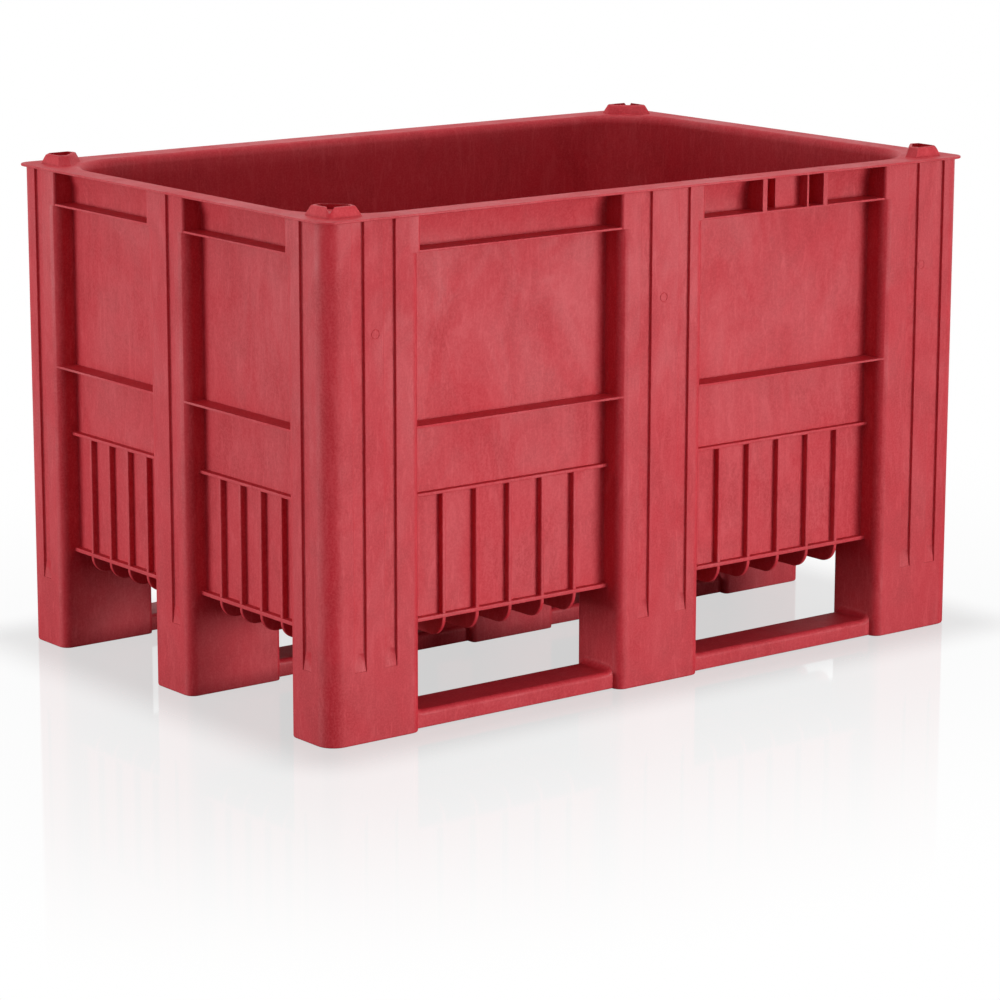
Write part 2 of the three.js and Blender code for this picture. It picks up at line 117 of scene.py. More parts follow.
class MouldingSizes(bpy.types.PropertyGroup):
    """Sizes of the moulding. The overall sizes come from the frame."""

    rim_overhang: length("Rim overhang", "From the post faces to the rim's edge", 5)
    nub_height: length("Nub height", "Height of the nubs over the rim", 15)
    wall: length("Wall", "Thickness of walls and posts", 5)
    floor: length("Floor", "Thickness of the tub floor", 6)
    foot_plate: length("Foot plate", "Thickness of the bottom of a foot", 6)
    post_cap: length("Post cap", "Thickness over the hollow of a post", 6)
    long_recess: length("Long recess", "From the long post faces to the wall", 38)
    short_recess: length("Short recess", "From the short post faces to the wall", 32)
    underside: length("Underside", "Height of the floor's underside", 152)
    tub_corner: length("Tub corner", "Radius of the tub's upright corners", 110)
    tub_fillet: length("Tub fillet", "Radius between walls and floor inside", 12)
    lead_in: length("Lead-in", "How far the tub widens at the rim", 8)
    lead_in_height: length("Lead-in height", "Height of the widening at the rim", 14)
    flare: length("Flare", "Height of the bend under it", 16)
    rim: length("Rim", "Thickness of the rim plate", 3.5)
    rim_corner: length("Rim corner", "Radius of the rim's corners", 24)
    corner_post: length("Corner post", "Its length along the long side", 162)
    middle_post: length("Middle post", "Its length along the long side", 158)
    runner: length("Runner", "Width of a runner and its feet", 98)
    box_corner: length("Box corner", "Radius of the outer edge of a corner post", 28)
    post_edge: length("Post edge", "Radius of the other upright post edges", 16)
    post_top_edge: length("Post top edge", "The same radius above the top shelf", 5)
    foot_edge: length("Foot edge", "Radius of the feet's inner edges", 8)
    sole_edge: length("Sole edge", "Rounding round the bottom of the feet", 2.5)
    vent: length("Vent", "Diameter of the hole under a foot", 14)
    bar_lift: length("Bar lift", "How far a runner bar clears the floor", 1)
    bar_height: length("Bar height", "Height of a runner bar's top", 27)
    bar_skin: length("Bar skin", "Thickness of a runner bar's skin", 4)
    bar_setback: length("Bar setback", "How far a bar lies behind the foot faces", 13)
    bar_fillet: length("Bar fillet", "Radius where a bar meets a foot", 12)
    bar_edge: length("Bar edge", "Rounding along a bar's top", 8)
    bar_lower_edge: length("Bar lower edge", "Rounding along a bar's bottom", 1.8)
    shelf: length("Shelf", "Thickness of the two deep shelves", 3.5)
    shelf_setback: length("Shelf setback", "From the post faces to a shelf's edge", 2)
    top_shelf: length("Top shelf", "Drop from the rim to the top shelf", 52)
    middle_shelf: length("Middle shelf", "Height of the middle shelf", 441)
    belt_height: length("Belt height", "Height of the thin belt's top", 338)
    belt: length("Belt", "Thickness of the belt", 5)
    belt_proud: length("Belt proud", "How far belt and ledge stand out", 10)
    rib: length("Rib", "Thickness of an upright rib", 6.5)
    rib_proud: length("Rib proud", "How far the ribs stand out", 9)
    rib_margin: length("Rib margin", "Least space from a post to the first rib", 40)
    long_spacing: length("Long spacing", "Spacing of the ribs on the long sides", 59.5)
    short_spacing: length("Short spacing", "Spacing of the ribs on the short sides", 51.5)
    cross_fin: length("Crosswise fin", "Depth of the fins that run across", 30)
    length_fin: length("Lengthwise fin", "Depth of the fins that run lengthwise", 26)
    thin_edge: length("Thin edge", "Rounding of the shelves, belt and rim", 0.9)
    rib_edge: length("Rib edge", "Rounding of the upright ribs and the fins", 1.8)
    channel: length("Channel", "Width of the channels down the post faces", 20)
    channel_depth: length("Channel depth", "Depth of the channels", 4.5)
    channel_edge: length("Channel edge", "Rounding along the channels", 1.4)
    channel_foot: length("Channel foot", "Height at which the channels fade out", 92)
    channel_run_out: length("Channel run-out", "Height of the slope that ends a channel", 40)
    corner_pair: length("Corner pair", "From the corner to a pair's middle", 78)
    corner_pair_spacing: length("Corner spacing", "Between a corner post's channels", 53)
    middle_pair_spacing: length("Middle spacing", "Between a middle post's channels", 72)
    pair_shift: length("Pair shift", "The long sides' pairs to the right", 3.5)
    short_channel: length("Short channel", "A short side's channel from the corner", 52)
    short_channel_off: length("Off-middle channel", "A short side's channel from the middle", 14)
    nub_inset: length("Nub inset", "From the box faces to a nub", 20)
    nub_leg: length("Nub leg", "Length of a nub's outer sides", 60)
    nub_tip: length("Nub tip", "Length of a nub's short slanting sides", 20)
    nub_tip_reach: length("Nub tip reach", "How far the slanting sides lean out", 5)
    nub_edge: length("Nub edge", "Rounding of the nubs", 2)
    nub_corner: length("Nub corner", "Radius of a nub's outer corner", 9)
    nub_pocket: length("Nub pocket", "Depth of the pocket in a nub", 7)
    nub_notch: length("Nub notch", "Width of the notch in a nub's outer corner", 13)
    nub_notch_floor: length("Nub notch floor", "Width of that notch at its floor", 2)
    nub_notch_depth: length("Nub notch depth", "Depth of the notch", 8)
    nub_notch_edge: length("Nub notch edge", "Rounding along the notch's floor", 1.6)
    nub_top: share("Nub top", "Size of a nub's top against its foot", 0.72)
    nub_pocket_top: share("Nub pocket top", "Size of the pocket against the nub", 0.66)
    nub_centre: share("Nub centre", "Where along its legs a nub tapers to", 0.4)
    holder_start: length("Holder start", "A card holder from the middle of the side", 192)
    holder: length("Holder", "Length of a card holder", 130)
    holder_cheek: length("Holder cheek", "Thickness of a holder's cheeks", 9)
    holder_stop: length("Holder stop", "Thickness of a holder's stop", 4)
    holder_stop_from_end: length("Stop from end", "From a holder's end to its stop", 42)
    holder_pane: length("Holder pane", "Depth of the pane behind the post faces", 20)
    holder_pane_start: length("Pane start", "From a holder's start to its pane", 40)
    gate_ring: length("Gate ring", "Radius of the ring marks left by the moulding", 6.5)
    gate_groove: length("Gate groove", "Depth of those ring marks", 0.7)
    gate_height: length("Gate height", "Height of the ring marks", 579)
    gate_from_corner: length("Gate from corner", "From the corner to a ring mark", 83)
    sink: length("Sink mark", "Length of the dents in the rim", 14)
    sink_depth: length("Sink depth", "Depth of those dents", 0.8)
    round_steps: IntProperty(
        name="Round steps", description="Steps of a post edge's rounding", default=6, min=2
    )


class PlasticFinish(bpy.types.PropertyGroup):
    """Colours and surface of the plastic."""

    body: colour("Body", "Main colour of the plastic", (0.500, 0.009, 0.022))
    pale: colour("Pale streaks", "Colour of the lighter flow streaks", (0.615, 0.054, 0.069))
    deep: colour("Deep streaks", "Colour of the darker clouds", (0.380, 0.004, 0.012))
    # Painted highlight: a paler colour laid along the edges in place of the shine on their
    # rounding.
    painted_edge_highlight: colour("Painted highlight on edges", "Colour of the painted highlight on edges", (0.640, 0.110, 0.130))
    roughness: share("Roughness", "Mean roughness", 0.58)
    roughness_spread: share("Roughness spread", "How much the roughness varies", 0.16)
    streaks: share("Streaks", "Strength of the flow streaks", 0.50)
    clouds: share("Clouds", "Strength of the broad mottling", 0.50)
    speckle: share("Speckle", "Strength of the fine pale speckle", 0.42)
    # Strength and reach of that painted edge highlight.
    painted_highlight: share("Edge wear", "Strength of the lighter edges", 0.08)
    painted_highlight_reach: length("Painted highlight reach", "How far in from an edge the wear reaches", 3.5)
    grain: share("Grain", "Strength of the fine grain", 0.22)
    grain_depth: length("Grain depth", "Depth of the fine grain", 0.6)
    ripple: share("Ripple", "Strength of the shallow ripples", 0.13)
    ripple_depth: length("Ripple depth", "Depth of the shallow ripples", 4)
    specular: share("Specular", "Strength of the plastic's reflections", 0.42)
    refraction: share("Refraction", "Index of refraction", 1.51, most=3.0)


class StudioSettings(bpy.types.PropertyGroup):
    """Camera, lamps and floor."""

    azimuth: degrees("Azimuth", "Camera direction, to the left of the long side's front", 37.824)
    elevation: degrees("Elevation", "Camera height above the horizon", 12.425)
    roll: degrees("Roll", "Camera roll", 0.1)
    distance: metres("Distance", "From the middle of the box to the camera", 5.7914)
    side_step: metres("Side step", "How far the camera stands to the right", 0.0079)
    lift: metres("Lift", "How far the camera is raised in its own frame", -0.15869)
    lens: FloatProperty(
        name="Lens", description="Focal length for a 36 mm wide frame, in millimetres",
        default=134.79, min=1.0,
    )
    front_lamp: watts("Front lamp", "Power of the lamp in front of the long side", 21.0)
    rear_lamp: watts("Rear lamp", "Power of the lamp beside the short side", 21.0)
    top_lamp: watts("Top lamp", "Power of the lamp overhead", 9.0)
    sky: share("Sky", "Strength of the even light all round", 0.36)
    floor_size: metres("Floor size", "Length of the floor's sides", 60.0)
    floor_shade: share("Floor shade", "How pale the floor is", 0.30)
    floor_roughness: share("Floor roughness", "Roughness of the floor", 0.6)
    floor_specular: share("Floor specular", "Strength of the floor's reflections", 0.2)
    floor_glow: share("Floor glow", "How white the floor is under the box", 0.74)
    floor_mirror: share("Floor mirror", "Strength of the box's image in the floor", 0.16)
    mirror_blur: share("Mirror blur", "Roughness of the box's image in the floor", 0.06)
    shadow_reach: metres("Shadow reach", "How far from the box its shadow fades out", 0.14)
    reflection_reach: metres(
        "Reflection reach", "How far out the floor is white in the box's reflections", 1.8
    )
    mirror_reach: metres("Mirror reach", "How far from the box its image fades out", 1.0)


# Each lamp's place, what it looks at, its width and height, and its spread in degrees.
LAMPS = {
    "front_lamp": ((2.0, -5.2, 0.5), (-0.4, -0.4, 0.35), (3.2, 0.9), 50),
    "rear_lamp": ((-5.4, 2.2, 0.5), (-0.6, -0.1, 0.35), (3.0, 0.9), 60),
    "top_lamp": ((0.0, 0.0, 5.0), (0.0, 0.0, 0.0), (1.0, 0.8), 60),
}


class Noise(NamedTuple):
    """Noise on object coordinates, and the span of its values that counts."""

    stretch: tuple
    turn: tuple = (0.0, 0.0, 0.0)
    scale: float = 1.0
    detail: float = 3.0
    rough: float = 0.55
    warp: float = 0.0
    low: float = 0.0
    high: float = 1.0
    strength: float = 1.0


CLOUDS = Noise((1.0, 1.0, 0.8), scale=15.0, detail=5.0, warp=0.7, low=0.40, high=0.68)
SWEEPS = Noise(
    (34.0, 34.0, 9.0), (0.60, 0.66, 0.3), detail=6.0, rough=0.66, warp=1.6,
    low=0.50, high=0.70, strength=0.8,
)
RUNS = Noise(
    (75.0, 75.0, 3.6), detail=4.0, rough=0.6, warp=0.3, low=0.52, high=0.78, strength=0.5
)
STROKES = Noise(
    (150.0, 150.0, 30.0), (-0.72, -0.70, 0.2), detail=4.0, rough=0.7, warp=1.2,
    low=0.52, high=0.68,
)
SPECKLE = Noise((1.0, 1.0, 1.0), scale=330.0, rough=0.7, low=0.38, high=0.66)
GLOSS = Noise(
    (9.0, 9.0, 5.0), (0.2, 0.1, 0.0), detail=6.0, rough=0.65, warp=0.8, low=0.3, high=0.7
)
RIPPLES = Noise((11.0, 11.0, 6.0), warp=0.3)
GRAIN = Noise((1.0, 1.0, 1.0), scale=620.0)
# How far the rounded and the plain normal agree where the painted edge highlight starts, and where
# it is full.
HIGHLIGHT_FROM, HIGHLIGHT_TO = 0.998, 0.93


def sizes():
    return bpy.context.scene.pallet_box_sizes


class Places:
    """Heights and half sizes worked out from the frame and the moulding's sizes."""

    def __init__(self):
        s = sizes()
        self.half_length = NODE_HIGH.x - s.rim_overhang
        self.half_width = NODE_HIGH.y - s.rim_overhang
        self.top = NODE_HIGH.z - s.nub_height
        self.rim_underside = self.top - s.rim
        self.inside_rim = self.top - s.rim / 2
        self.floor = s.underside + s.floor
        self.inside_floor = s.underside + s.floor / 2
        self.inside_belt = s.belt_height - s.belt / 2
        self.top_shelf = self.top - s.top_shelf
        self.panel_x = self.half_length - s.short_recess
        self.panel_y = self.half_width - s.long_recess
        self.tub_x = self.panel_x - s.wall
        self.tub_y = self.panel_y - s.wall
        self.columns_x = (
            (-self.half_length, -self.half_length + s.corner_post),
            (-s.middle_post / 2, s.middle_post / 2),
            (self.half_length - s.corner_post, self.half_length),
        )
        self.columns_y = (
            (-self.half_width, -self.half_width + s.runner),
            (-s.runner / 2, s.runner / 2),
            (self.half_width - s.runner, self.half_width),
        )


def near(a, b):
    return abs(a - b) < NEAR


def upright(a, b):
    """Whether an edge from a to b stands upright."""
    return near(a.x, b.x) and near(a.y, b.y)


def faces_up(centre, normal):
    return normal.z > FACING


def faces_down(centre, normal):
    return normal.z < -FACING


def faces_front(centre, normal):
    return normal.y < -FACING


def any_face(centre, normal):
    return True


def only(piece):
    """Select one object alone."""
    for other in list(bpy.context.selected_objects):
        other.select_set(False)
    bpy.context.view_layer.objects.active = piece
    piece.select_set(True)


def edit(piece, kind, chosen):
    """Go into edit mode with the edges or faces selected that chosen accepts."""
    only(piece)
    mesh = piece.data
    for elements in (mesh.vertices, mesh.edges, mesh.polygons):
        elements.foreach_set("select", [False] * len(elements))
    if kind == "EDGE":
        for edge in mesh.edges:
            a, b = (mesh.vertices[i].co for i in edge.vertices)
            edge.select = bool(chosen(a, b))
    else:
        for face in mesh.polygons:
            face.select = bool(chosen(face.center, face.normal))
    bpy.context.tool_settings.mesh_select_mode = (False, kind == "EDGE", kind == "FACE")
    bpy.ops.object.mode_set(mode="EDIT")


def leave_edit():
    bpy.ops.object.mode_set(mode="OBJECT")


def settle(piece):
    """Put an object's place, turn and scale into its mesh."""
    only(piece)
    bpy.ops.object.transform_apply(location=True, rotation=True, scale=True)
    return piece


def block(low, high, name="block"):
    """A box between two corners."""
    low, high = Vector(low), Vector(high)
    bpy.ops.mesh.primitive_cube_add(size=1.0, location=(low + high) / 2, scale=high - low)
    piece = bpy.context.active_object
    piece.name = name
    return settle(piece)


def round_edges(piece, chosen, radius, steps):
    """Round the edges that chosen accepts."""
    edit(piece, "EDGE", chosen)
    bpy.ops.mesh.bevel(offset=radius, segments=steps, affect="EDGES", clamp_overlap=False)
    leave_edit()


def push_out(piece, chosen, move, growth=(1.0, 1.0, 1.0)):
    """Extrude the faces that chosen accepts, and scale the new end about the origin."""
    edit(piece, "FACE", chosen)
    bpy.ops.mesh.extrude_region_move(TRANSFORM_OT_translate={"value": move})
    bpy.ops.transform.resize(value=growth, center_override=(0.0, 0.0, 0.0))
    leave_edit()


def scale_faces(piece, chosen, growth, centre):
    """Scale the faces that chosen accepts about a point."""
    edit(piece, "FACE", chosen)
    bpy.ops.transform.resize(value=growth, center_override=centre)
    leave_edit()


def move_edges(piece, chosen, move):
    """Move the edges that chosen accepts."""
    edit(piece, "EDGE", chosen)
    bpy.ops.transform.translate(value=move)
    leave_edit()


def together(pieces, name):
    """Join objects that don't touch one another into one."""
    only(pieces[0])
    for piece in pieces:
        piece.select_set(True)
    if len(pieces) > 1:
        bpy.ops.object.join()
    whole = bpy.context.active_object
    whole.name = name
    return whole


def copied(piece, matrix):
    """A copy with a mesh of its own, moved or turned by a matrix."""
    only(piece)
    bpy.ops.object.duplicate(linked=False)
    copy = bpy.context.active_object
    copy.matrix_world = matrix
    return settle(copy)


def combine(piece, other, operation):
    """Unite a piece with another or cut the other out of it, and use the other up."""
    only(piece)
    bpy.ops.object.modifier_add(type="BOOLEAN")
    modifier = piece.modifiers[-1]
    modifier.operation = operation
    modifier.solver = "MANIFOLD"
    modifier.object = other
    bpy.ops.object.modifier_apply(modifier=modifier.name)
    bpy.data.objects.remove(other)
    if not piece.data.polygons:
        raise RuntimeError(f"{piece.name}: nothing is left after {operation}")
    return piece


def all_columns(place, inset, bottom, top_of):
    """Blocks of the nine columns, inset on every side, up to the height top_of gives."""
    blocks = []
    for i, (x0, x1) in enumerate(place.columns_x):
        for j, (y0, y1) in enumerate(place.columns_y):
            top = top_of(i == 1 and j == 1)
            if top is not None:
                low = (x0 + inset, y0 + inset, bottom)
                blocks.append(block(low, (x1 - inset, y1 - inset, top)))
    return blocks


def round_columns(piece, place, inset, face_radius):
    """Round the upright edges of columns: box corners, face edges and inner edges."""
    s = sizes()
    outer_x = place.half_length - inset
    outer_y = place.half_width - inset
    xs = (outer_x, place.columns_x[2][0] + inset, s.middle_post / 2 - inset)
    ys = (outer_y, place.columns_y[2][0] + inset, s.runner / 2 - inset)

    def at_corner(a, b, faces):
        if not upright(a, b) or near(a.z, b.z):
            return False
        if not any(near(abs(a.x), x) for x in xs) or not any(near(abs(a.y), y) for y in ys):
            return False
        return near(abs(a.x), outer_x) + near(abs(a.y), outer_y) == faces

    inner = max(s.foot_edge - inset, MILLIMETRE)
    face = max(face_radius - inset, MILLIMETRE)
    round_edges(piece, lambda a, b: at_corner(a, b, 2), s.box_corner - inset, s.round_steps + 2)
    round_edges(piece, lambda a, b: at_corner(a, b, 1), face, s.round_steps)
    round_edges(piece, lambda a, b: at_corner(a, b, 0), inner, s.round_steps - 2)


class PALLETBOX_OT_columns(bpy.types.Operator):
    """Model the nine feet and the eight posts that stand on them"""

    bl_idname = "pallet_box.columns"
    bl_label = "Posts and Feet"

    def execute(self, context):
        s, place = sizes(), Places()
        change = place.top_shelf - s.shelf / 2
        overlap = s.shelf / 4

        def lower_top(is_middle):
            return place.inside_floor if is_middle else change + overlap

        def upper_top(is_middle):
            return None if is_middle else place.inside_rim

        lower = together(all_columns(place, 0.0, 0.0, lower_top), "posts_and_feet")
        round_columns(lower, place, 0.0, s.post_edge)
        round_edges(
            lower, lambda a, b: near(a.z, 0) and near(b.z, 0), s.sole_edge, SMALL_STEPS
        )
        upper = together(all_columns(place, 0.0, change - overlap, upper_top), "post_tops")
        round_columns(upper, place, 0.0, s.post_top_edge)
        return {"FINISHED"}


class PALLETBOX_OT_walls(bpy.types.Operator):
    """Model the wall panels, the floor ledge, the belt and the two deep shelves"""

    bl_idname = "pallet_box.walls"
    bl_label = "Walls and Shelves"

    def execute(self, context):
        s, place = sizes(), Places()
        x, y = place.panel_x, place.panel_y
        bend = place.top - s.lead_in_height - s.flare
        walls = block((-x, -y, place.inside_floor), (x, y, bend), "wall_panels")
        growth = ((x + s.lead_in) / x, (y + s.lead_in) / y, 1.0)
        rise = place.inside_rim - bend
        push_out(walls, faces_up, (0, 0, rise), growth)

        belt_x, belt_y = x + s.belt_proud, y + s.belt_proud
        heights = ((s.underside, place.floor), (s.belt_height - s.belt, s.belt_height))
        bands = [
            block((-belt_x, -belt_y, low), (belt_x, belt_y, high)) for low, high in heights
        ]
        into_post = s.post_edge + s.wall
        long_x = place.half_length - s.corner_post + into_post
        long_y = place.half_width - s.shelf_setback
        short_x = place.half_length - s.shelf_setback
        short_y = place.half_width - s.runner + into_post
        sets = [(together(bands, "ledge_and_belt"), belt_x, belt_y)]
        for name, half_x, half_y in (
            ("long_shelves", long_x, long_y), ("short_shelves", short_x, short_y)
        ):
            slabs = [
                block((-half_x, -half_y, top - s.shelf), (half_x, half_y, top))
                for top in (place.top_shelf, s.middle_shelf)
            ]
            sets.append((together(slabs, name), half_x, half_y))
        for slabs, half_x, half_y in sets:
            round_edges(
                slabs,
                lambda a, b: near(a.z, b.z) and (
                    near(abs(a.x), half_x) and near(a.x, b.x)
                    or near(abs(a.y), half_y) and near(a.y, b.y)
                ),
                s.thin_edge, SMALL_STEPS,
            )
        return {"FINISHED"}


def rib_places(start, end, spacing):
    """Places of evenly spaced ribs about the middle of a panel."""
    gaps = max(0, math.floor((end - start - 2 * sizes().rib_margin) / spacing))
    first = (start + end - gaps * spacing) / 2
    return [first + i * spacing for i in range(gaps + 1)]


class PALLETBOX_OT_ribs(bpy.types.Operator):
    """Model the upright ribs, which turn under the floor as fins"""

    bl_idname = "pallet_box.ribs"
    bl_label = "Ribs and Fins"

    def execute(self, context):
        s, place = sizes(), Places()
        half = s.rib / 2
        top = place.inside_belt
        sets = (
            ("crosswise_ribs", place.columns_x, s.long_spacing, place.panel_y, s.cross_fin, 0),
            ("lengthwise_ribs", place.columns_y, s.short_spacing, place.panel_x, s.length_fin, 1),
        )
        for name, columns, spacing, panel, depth, axis in sets:
            reach = panel + s.rib_proud
            bottom = s.underside - depth
            blocks = []
            for before, after in ((0, 1), (1, 2)):
                for at in rib_places(columns[before][1], columns[after][0], spacing):
                    low, high = (at - half, -reach), (at + half, reach)
                    if axis:
                        low, high = low[::-1], high[::-1]
                    blocks.append(block((*low, bottom), (*high, top)))
            ribs = together(blocks, name)
            round_edges(
                ribs,
                lambda a, b: near(a.z, bottom) and near(b.z, bottom)
                and near(abs(a[1 - axis]), reach) and near(a[1 - axis], b[1 - axis]),
                depth, 2 * s.round_steps,
            )
            round_edges(ribs, lambda a, b: near(a[axis], b[axis]), s.rib_edge, EDGE_STEPS)
        return {"FINISHED"}


class PALLETBOX_OT_bars(bpy.types.Operator):
    """Model the six flat runner bars, filleted where they meet the feet"""

    bl_idname = "pallet_box.bars"
    bl_label = "Runner Bars"

    def execute(self, context):
        s, place = sizes(), Places()
        fillet_top = s.bar_height + s.bar_fillet
        bars, spaces, hollows = [], [], []
        for y0, y1 in place.columns_y:
            for before, after in ((0, 1), (1, 2)):
                x0, x1 = place.columns_x[before][1], place.columns_x[after][0]
                front, back = y0 + s.bar_setback, y1 - s.bar_setback
                low = (x0 - s.wall, front, s.bar_lift)
                bars.append(block(low, (x1 + s.wall, back, fillet_top)))
                high = (x1, y1, fillet_top + s.bar_fillet)
                spaces.append(block((x0, y0, s.bar_height), high))
                reach = s.wall + OVERCUT
                low = (x0 - reach, front + s.bar_skin, s.bar_lift + s.bar_skin)
                high = (x1 + reach, back - s.bar_skin, s.bar_height - s.bar_skin)
                hollows.append(block(low, high))
        whole = together(bars, "runner_bars")
        space = together(spaces, "over_bars")

        def at_foot(a, b):
            return near(a.z, s.bar_height) and near(b.z, s.bar_height) and near(a.x, b.x)

        round_edges(space, at_foot, s.bar_fillet, s.round_steps)
        combine(whole, space, "DIFFERENCE")
        sides = [abs(y + step) for (y0, y1) in place.columns_y
                 for y, step in ((y0, s.bar_setback), (y1, -s.bar_setback))]

        def along_side(a, b):
            return near(a.y, b.y) and any(near(abs(a.y), y) for y in sides)

        def above(a, b):
            return along_side(a, b) and min(a.z, b.z) > s.bar_height - MILLIMETRE

        def below(a, b):
            return along_side(a, b) and near(a.z, s.bar_lift) and near(b.z, s.bar_lift)

        round_edges(whole, above, s.bar_edge, s.round_steps)
        round_edges(whole, below, s.bar_lower_edge, SMALL_STEPS)
        together(hollows, "bar_hollows")
        return {"FINISHED"}


class PALLETBOX_OT_rim(bpy.types.Operator):
    """Model the rim plate"""

    bl_idname = "pallet_box.rim"
    bl_label = "Rim"

    def execute(self, context):
        s, place = sizes(), Places()
        x, y = place.half_length + s.rim_overhang, place.half_width + s.rim_overhang
        rim = block((-x, -y, place.rim_underside), (x, y, place.top), "rim_plate")
        round_edges(rim, lambda a, b: upright(a, b), s.rim_corner, s.round_steps + 2)
        round_edges(rim, lambda a, b: near(a.z, b.z), s.thin_edge, SMALL_STEPS)
        return {"FINISHED"}


class PALLETBOX_OT_holders(bpy.types.Operator):
    """Model the card holders in the top strips of the two long sides"""

    bl_idname = "pallet_box.holders"
    bl_label = "Card Holders"

    def execute(self, context):
        s, place = sizes(), Places()
        bottom = place.top_shelf - s.shelf / 2
        front = -place.half_width + s.shelf_setback
        back = -place.panel_y + s.wall / 2
        start = s.holder_start
        end = start + s.holder
        stop = end - s.holder_stop_from_end
        pane = -place.half_width + s.holder_pane
        for name, x0, x1, y in (
            ("holder_cheek_start", start, start + s.holder_cheek, front),
            ("holder_cheek_end", end - s.holder_cheek, end, front),
            ("holder_stop", stop, stop + s.holder_stop, front),
            ("holder_pane", start + s.holder_pane_start, stop + OVERCUT, pane),
        ):
            plate = block((x0, y, bottom), (x1, back, place.inside_rim), name)
            round_edges(
                plate, lambda a, b: upright(a, b) and near(a.y, y), s.thin_edge, SMALL_STEPS
            )
            turned = copied(plate, Matrix.Rotation(math.pi, 4, "Z"))
            together([plate, turned], name)
        return {"FINISHED"}


class PALLETBOX_OT_nubs(bpy.types.Operator):
    """Model the four stacking nubs on the rim's corners"""

    bl_idname = "pallet_box.nubs"
    bl_label = "Stacking Nubs"

    def execute(self, context):
        s, place = sizes(), Places()
        tip = s.nub_inset + s.nub_leg + s.nub_tip_reach
        chamfer = tip - s.nub_inset - s.nub_tip
        middle = s.nub_inset + s.nub_leg * s.nub_centre
        bottom, top = place.rim_underside, place.top + s.nub_height
        nub = block((s.nub_inset, s.nub_inset, bottom), (tip, tip, top), "nub")
        round_edges(
            nub, lambda a, b: upright(a, b) and near(a.x, tip) and near(a.y, tip), chamfer, 1
        )
        for i, move in ((0, (-s.nub_tip_reach, 0, 0)), (1, (0, -s.nub_tip_reach, 0))):
            move_edges(
                nub,
                lambda a, b: upright(a, b) and near(a[i], tip) and near(a[1 - i], s.nub_inset),
                move,
            )
        centre = (middle, middle, top)
        scale_faces(nub, faces_up, (s.nub_top, s.nub_top, 1.0), centre)
        rise = s.nub_height - s.nub_pocket + s.rim
        pocket = copied(nub, Matrix.Translation((0, 0, rise)))
        scale_faces(pocket, any_face, (s.nub_pocket_top, s.nub_pocket_top, 1.0), centre)
        round_edges(
            nub,
            lambda a, b: near(a.x, a.y) and near(b.x, b.y) and max(a.x, b.x) < middle,
            s.nub_corner, s.round_steps,
        )
        round_edges(nub, lambda a, b: min(a.z, b.z) > bottom + NEAR, s.nub_edge, EDGE_STEPS)
        combine(nub, pocket, "DIFFERENCE")
        half, notch_floor = s.nub_notch / 2, top - s.nub_notch_depth
        notch = block((-half, 0, notch_floor), (half, s.nub_leg, top + OVERCUT), "notch")
        narrow = (s.nub_notch_floor / s.nub_notch, 1.0, 1.0)
        scale_faces(notch, faces_down, narrow, (0, 0, top))
        round_edges(
            notch, lambda a, b: near(a.z, notch_floor) and near(a.x, b.x),
            s.nub_notch_edge, SMALL_STEPS,
        )
        turn = Matrix.Rotation(1.5 * QUARTER, 4, "Z")
        notch.matrix_world = Matrix.Translation((middle, middle, 0)) @ turn
        combine(nub, settle(notch), "DIFFERENCE")
        corners = []
        for quarter, (x, y) in enumerate(((-1, -1), (1, -1), (1, 1), (-1, 1))):
            spot = Matrix.Translation((x * place.half_length, y * place.half_width, 0))
            corners.append(copied(nub, spot @ Matrix.Rotation(quarter * QUARTER, 4, "Z")))
        bpy.data.objects.remove(nub)
        together(corners, "stacking_nubs")
        return {"FINISHED"}


def tub_space(skin, bottom, fillet):
    """The inside of the tub grown outwards by a skin, with its rounded lead-in."""
    s, place = sizes(), Places()
    x, y = place.tub_x + skin, place.tub_y + skin
    lead_start = place.top - s.lead_in_height
    space = block((-x, -y, bottom), (x, y, lead_start), "tub_space")
    round_edges(space, lambda a, b: upright(a, b), s.tub_corner + skin, 3 * s.round_steps)
    if fillet:
        round_edges(
            space, lambda a, b: near(a.z, bottom) and near(b.z, bottom), fillet, FILLET_STEPS
        )
    steps = s.round_steps
    was = 0.0
    for step in range(1, steps + 1):
        turn = QUARTER * step / steps
        reach = s.lead_in * (1 - math.cos(turn))
        rise = s.lead_in_height * (math.sin(turn) - math.sin(turn - QUARTER / steps))
        growth = ((x + reach) / (x + was), (y + reach) / (y + was), 1.0)
        push_out(space, faces_up, (0, 0, rise), growth)
        was = reach
    push_out(space, faces_up, (0, 0, OVERCUT))
    return space


def channel_cutter(extra):
    """One channel at the origin, cut into a face that looks along -Y, with soft edges."""
    s, place = sizes(), Places()
    half = s.channel / 2 + extra
    edge = s.channel_edge
    back = s.channel_depth + extra
    foot = s.channel_foot - extra + s.channel_run_out
    top = place.rim_underside + extra
    cutter = block((-half, edge, foot), (half, back, top), "channel")
    round_edges(cutter, lambda a, b: upright(a, b) and a.y > edge + NEAR, edge, SMALL_STEPS)
    slope = s.channel_run_out / back
    for vertex in cutter.data.vertices:
        if vertex.co.z < foot + NEAR:
            vertex.co.z -= slope * (back - vertex.co.y)
    width = 2 * half
    for step in range(1, EDGE_STEPS + 1):
        turn = QUARTER * step / EDGE_STEPS
        rise = edge * (math.sin(turn) - math.sin(turn - QUARTER / EDGE_STEPS))
        wider = 2 * half + 2 * edge * (1 - math.cos(turn))
        push_out(cutter, faces_front, (0, -rise, 0), (wider / width, 1.0, 1.0))
        width = wider
    push_out(cutter, faces_front, (0, -OVERCUT, 0))
    return cutter


